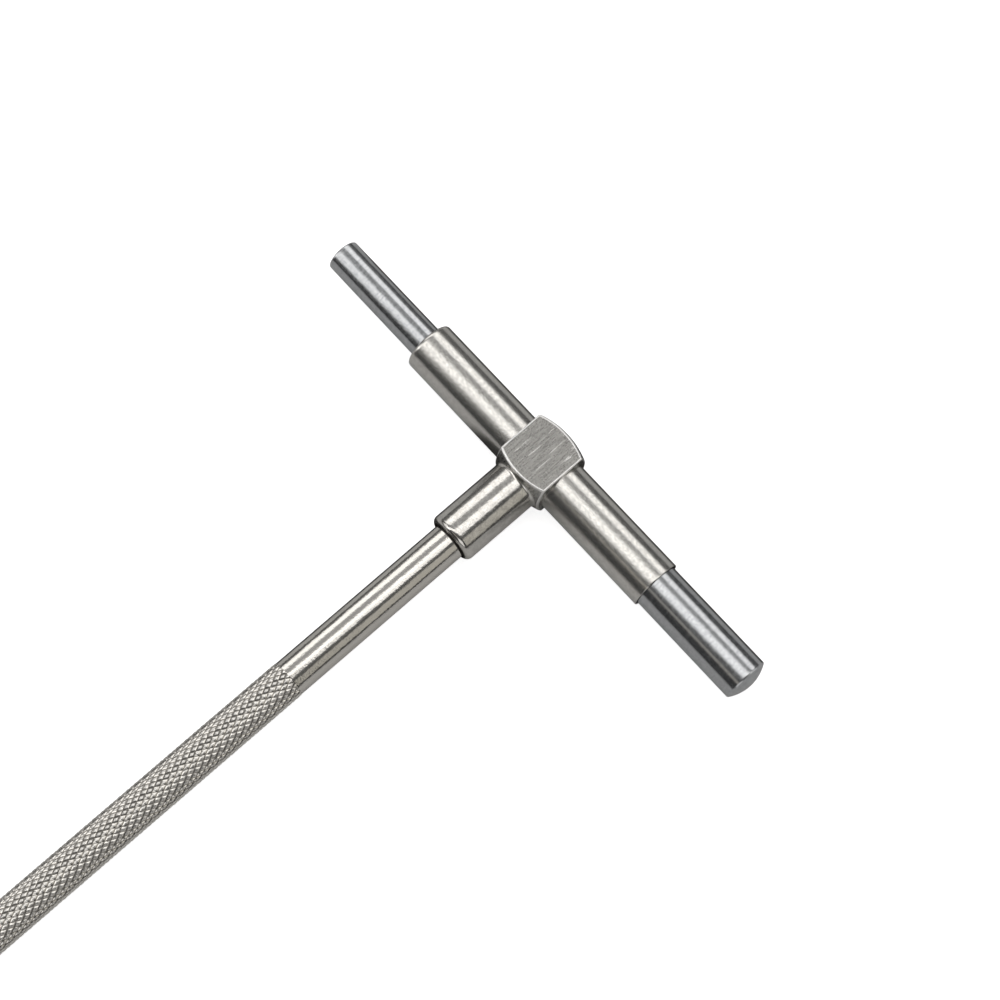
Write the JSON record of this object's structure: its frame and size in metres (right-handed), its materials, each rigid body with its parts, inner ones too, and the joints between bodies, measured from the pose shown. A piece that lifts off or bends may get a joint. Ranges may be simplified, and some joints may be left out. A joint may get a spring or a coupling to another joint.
{
  "type": "telescoping gauge",
  "caption": "T-shaped telescoping gauge that copies the width of a bore: sprung plungers slide out of a crossbar and are locked from the knob at the end of its knurled handle.",
  "frame": {"origin": "centre of the flat face at the back of the hub, on which the gauge lies", "axes": "+X along the crossbar towards the large plunger, handle along -Y, +Z out of the hub's front flat"},
  "size_m": [0.09, 0.1557, 0.0096],
  "materials": {
    "hub_nickel": "ground flats on bright nickel plate",
    "satin_nickel": "satin nickel plate",
    "bright_nickel": "bright nickel plate, knurled grip",
    "ground_steel": "hardened and ground steel",
    "spring_steel": "drawn spring wire",
    "plain_steel": "turned steel"
  },
  "bodies": {
    "gauge_body": {"hub": "hub_nickel", "crossbar_tube": "satin_nickel", "handle_tube": "bright_nickel", "tail_bush": "plain_steel"},
    "large_plunger": {"large_plunger": "ground_steel", "plunger_spring": "spring_steel"},
    "small_plunger": {"small_plunger": "ground_steel"},
    "brake": {"brake_pin": "plain_steel"},
    "lock_screw": {"lock_rod": "plain_steel", "lock_knob": "bright_nickel", "knob_pin": "plain_steel"}
  },
  "joints": [
    {"name": "large_plunger_slide", "type": "slide", "parent": "gauge_body", "child": "large_plunger", "axis": [1, 0, 0], "range_m": [-0.018, 0], "stiffness_N_per_m": 60, "springref_m": 0.02, "deforming": ["plunger_spring"]},
    {"name": "small_plunger_slide", "type": "slide", "parent": "gauge_body", "child": "small_plunger", "axis": [-1, 0, 0], "range_m": [-0.018, 0], "stiffness_N_per_m": 60, "springref_m": 0.02, "deforming": ["plunger_spring"]},
    {"name": "brake_travel", "type": "slide", "parent": "gauge_body", "child": "brake", "axis": [0, 1, 0], "range_m": [-0.000375, 0.000125]},
    {"name": "knob_turn", "type": "hinge", "parent": "brake", "child": "lock_screw", "pos_m": [0, -0.14, 0.0048], "axis": [0, 1, 0], "range_deg": [-270, 90]}
  ],
  "couplings": [
    {"joint": "knob_turn", "follows": "brake_travel", "rad_per_m": 12566}
  ]
}
